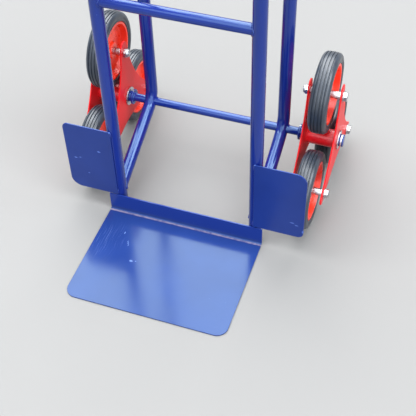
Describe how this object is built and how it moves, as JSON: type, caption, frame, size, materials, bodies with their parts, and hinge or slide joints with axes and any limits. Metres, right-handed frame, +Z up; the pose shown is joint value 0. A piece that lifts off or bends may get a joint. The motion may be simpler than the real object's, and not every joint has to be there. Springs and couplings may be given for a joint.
{
  "type": "stair climbing hand truck",
  "caption": "Upright tube-frame hand truck with a folded toe plate, side plates, rear-bent handles and a three-wheel star on each end of a through axle for climbing stairs.",
  "frame": {"origin": "centre of the footprint on the floor, midway between the toe plate's front edge and the rear wheels", "axes": "+X to the truck's right as seen from the front, parallel to the axle; -Y is the front, where the toe plate points; +Z up"},
  "size_m": [0.5372, 0.607, 1.117],
  "materials": {
    "frame_blue": "glossy dark blue powder coat",
    "star_red": "glossy red paint on steel plate",
    "rim_orange": "bright orange-red moulded rim",
    "tyre_rubber": "solid black rubber with ring grooves",
    "zinc": "bright zinc-plated steel",
    "grip_rubber": "ribbed black rubber",
    "plug_plastic": "moulded black plastic"
  },
  "bodies": {
    "frame": {"toe_plate": "frame_blue", "left_wing_plate": "frame_blue", "right_wing_plate": "frame_blue", "left_upright": "frame_blue", "right_upright": "frame_blue", "left_rear_tube": "frame_blue", "right_rear_tube": "frame_blue", "lower_cross_bar": "frame_blue", "middle_cross_bar": "frame_blue", "upper_cross_bar": "frame_blue", "axle": "frame_blue", "left_stop_collar": "frame_blue", "right_stop_collar": "frame_blue", "left_end_cap": "frame_blue", "right_end_cap": "frame_blue", "left_grip": "grip_rubber", "right_grip": "grip_rubber", "left_foot_plug": "plug_plastic", "right_foot_plug": "plug_plastic", "left_inner_washer": "zinc", "left_outer_washer": "zinc", "right_inner_washer": "zinc", "right_outer_washer": "zinc"},
    "left_star": {"left_star_inner_plate": "star_red", "left_star_outer_plate": "star_red", "left_star_barrel": "star_red", "left_top_wheel_bolt": "zinc", "left_top_wheel_nut": "zinc", "left_top_wheel_sleeve": "zinc", "left_front_wheel_bolt": "zinc", "left_front_wheel_nut": "zinc", "left_front_wheel_sleeve": "zinc", "left_rear_wheel_bolt": "zinc", "left_rear_wheel_nut": "zinc", "left_rear_wheel_sleeve": "zinc"},
    "right_star": {"right_star_inner_plate": "star_red", "right_star_outer_plate": "star_red", "right_star_barrel": "star_red", "right_top_wheel_bolt": "zinc", "right_top_wheel_nut": "zinc", "right_top_wheel_sleeve": "zinc", "right_front_wheel_bolt": "zinc", "right_front_wheel_nut": "zinc", "right_front_wheel_sleeve": "zinc", "right_rear_wheel_bolt": "zinc", "right_rear_wheel_nut": "zinc", "right_rear_wheel_sleeve": "zinc"},
    "left_top_wheel": {"left_top_tyre": "tyre_rubber", "left_top_rim": "rim_orange"},
    "left_front_wheel": {"left_front_tyre": "tyre_rubber", "left_front_rim": "rim_orange"},
    "left_rear_wheel": {"left_rear_tyre": "tyre_rubber", "left_rear_rim": "rim_orange"},
    "right_top_wheel": {"right_top_tyre": "tyre_rubber", "right_top_rim": "rim_orange"},
    "right_front_wheel": {"right_front_tyre": "tyre_rubber", "right_front_rim": "rim_orange"},
    "right_rear_wheel": {"right_rear_tyre": "tyre_rubber", "right_rear_rim": "rim_orange"}
  },
  "joints": [
    {"name": "left_star_spin", "type": "hinge", "parent": "frame", "child": "left_star", "pos_m": [-0.2235, 0.1275, 0.135], "axis": [1, 0, 0], "continuous": true},
    {"name": "left_top_wheel_spin", "type": "hinge", "parent": "left_star", "child": "left_top_wheel", "pos_m": [-0.2235, 0.1275, 0.247], "axis": [1, 0, 0], "continuous": true},
    {"name": "left_front_wheel_spin", "type": "hinge", "parent": "left_star", "child": "left_front_wheel", "pos_m": [-0.2235, 0.03051, 0.079], "axis": [1, 0, 0], "continuous": true},
    {"name": "left_rear_wheel_spin", "type": "hinge", "parent": "left_star", "child": "left_rear_wheel", "pos_m": [-0.2235, 0.2245, 0.079], "axis": [1, 0, 0], "continuous": true},
    {"name": "right_star_spin", "type": "hinge", "parent": "frame", "child": "right_star", "pos_m": [0.2235, 0.1275, 0.135], "axis": [1, 0, 0], "continuous": true},
    {"name": "right_top_wheel_spin", "type": "hinge", "parent": "right_star", "child": "right_top_wheel", "pos_m": [0.2235, 0.1275, 0.247], "axis": [1, 0, 0], "continuous": true},
    {"name": "right_front_wheel_spin", "type": "hinge", "parent": "right_star", "child": "right_front_wheel", "pos_m": [0.2235, 0.03051, 0.079], "axis": [1, 0, 0], "continuous": true},
    {"name": "right_rear_wheel_spin", "type": "hinge", "parent": "right_star", "child": "right_rear_wheel", "pos_m": [0.2235, 0.2245, 0.079], "axis": [1, 0, 0], "continuous": true}
  ]
}
